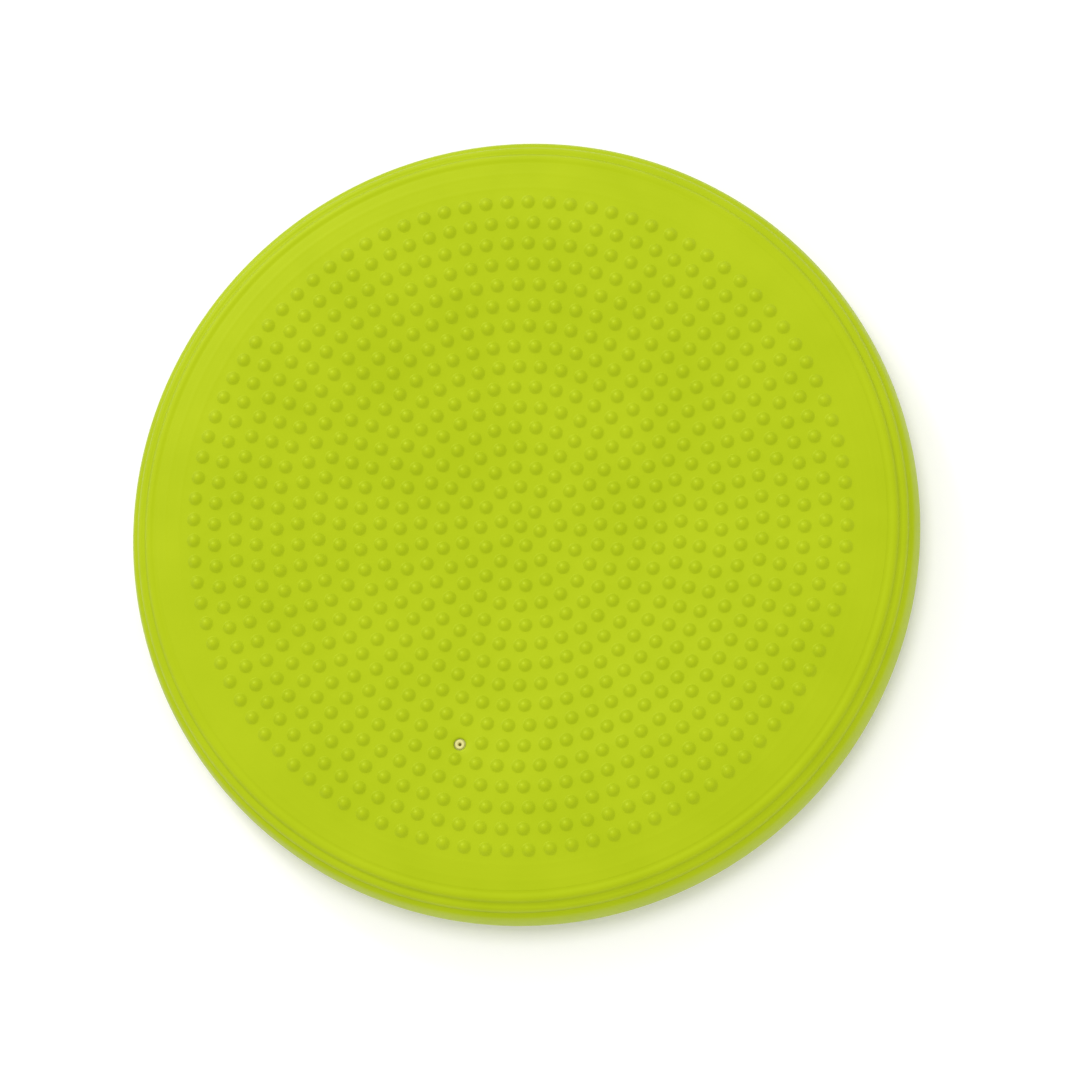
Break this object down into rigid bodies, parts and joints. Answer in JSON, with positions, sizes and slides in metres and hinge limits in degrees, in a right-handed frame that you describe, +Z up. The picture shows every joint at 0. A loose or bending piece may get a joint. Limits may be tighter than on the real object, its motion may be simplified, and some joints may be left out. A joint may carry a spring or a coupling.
{
  "type": "balance pad",
  "caption": "Round inflated vinyl balance pad with a dished, nubbed upper face, ribbed rim and needle valve.",
  "frame": {"origin": "on the floor under the centre of the pad", "axes": "+Z up through the nubbed face, -Y towards the needle valve"},
  "size_m": [0.33, 0.33, 0.04],
  "materials": {
    "vinyl": "satin soft vinyl, moulded in colour",
    "valve_rubber": "matt cream rubber"
  },
  "bodies": {
    "base": {"underside_shell": "vinyl", "lower_rim_wall": "vinyl"},
    "rib": {"mid_rim_rib": "vinyl", "upper_rim_wall": "vinyl"},
    "shoulder": {"shoulder_ring": "vinyl", "crest_wall": "vinyl"},
    "face": {"nubbed_face": "vinyl", "valve_seat": "vinyl", "valve_core": "valve_rubber"}
  },
  "joints": [
    {"name": "tilt_front_back", "type": "hinge", "parent": "base", "child": "rib", "pos_m": [0, 0, 0.019], "axis": [1, 0, 0], "range_deg": [-2.5, 2.5], "stiffness_Nm_per_rad": 250, "deforming": ["lower_rim_wall"]},
    {"name": "tilt_side_side", "type": "hinge", "parent": "rib", "child": "shoulder", "pos_m": [0, 0, 0.019], "axis": [0, 1, 0], "range_deg": [-2.5, 2.5], "stiffness_Nm_per_rad": 250, "deforming": ["upper_rim_wall"]},
    {"name": "sink", "type": "slide", "parent": "shoulder", "child": "face", "axis": [0, 0, 1], "range_m": [-0.006, 0], "stiffness_N_per_m": 30000, "deforming": ["crest_wall"]}
  ]
}
